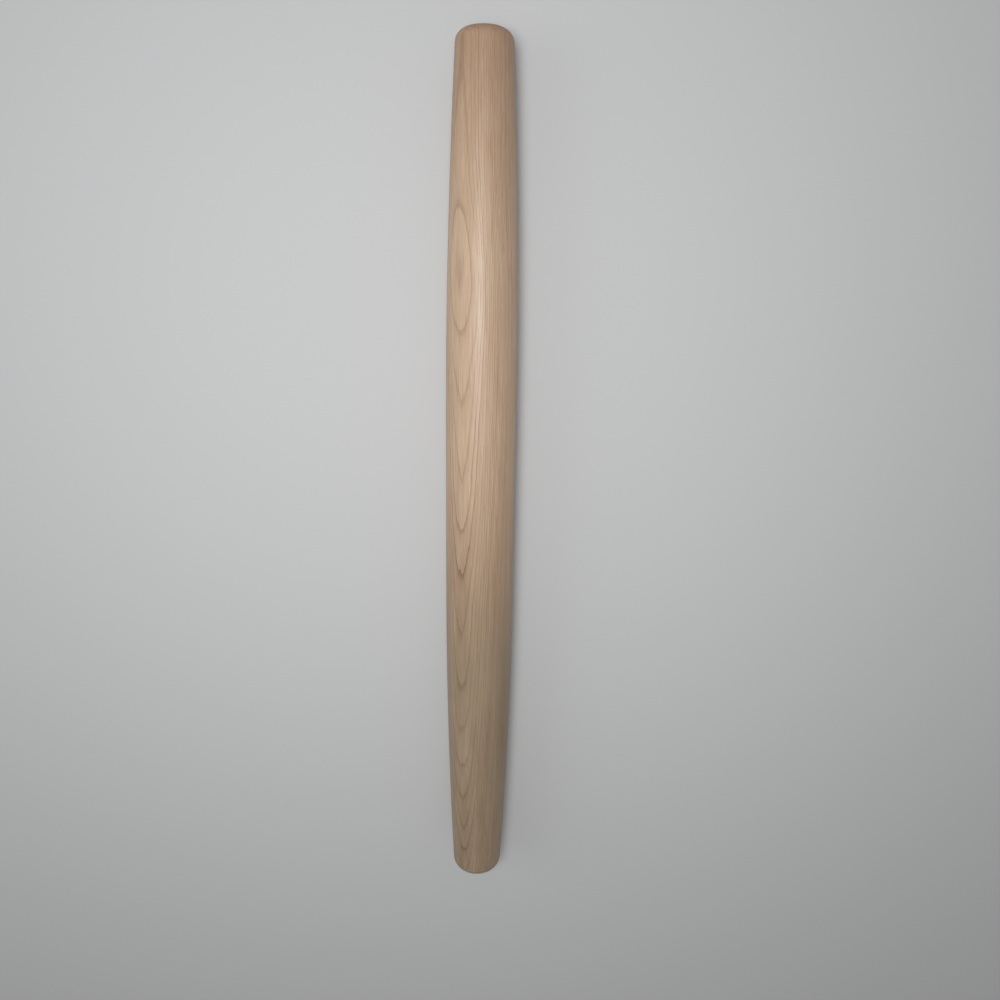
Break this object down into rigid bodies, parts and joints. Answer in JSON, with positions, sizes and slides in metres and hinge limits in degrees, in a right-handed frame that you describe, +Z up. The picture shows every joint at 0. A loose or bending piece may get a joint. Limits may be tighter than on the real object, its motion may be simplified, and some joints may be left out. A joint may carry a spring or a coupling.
{
  "type": "french rolling pin",
  "caption": "Solid turned wooden rolling pin with a straight middle, long tapers to both ends, and flat end faces with rounded rims.",
  "frame": {"origin": "on the worktop under the middle of the pin, where the barrel's lowest line touches it", "axes": "+X along the pin's axis of rotation, towards the end that is at the top of the picture; +Z up from the worktop; the axis of rotation lies at z = 0.02065"},
  "size_m": [0.508, 0.0412, 0.0413],
  "materials": {
    "maple": "turned hard maple, sanded smooth and lightly oiled, with a dull satin surface"
  },
  "bodies": {
    "root": {"pin_body": "maple"}
  },
  "joints": []
}
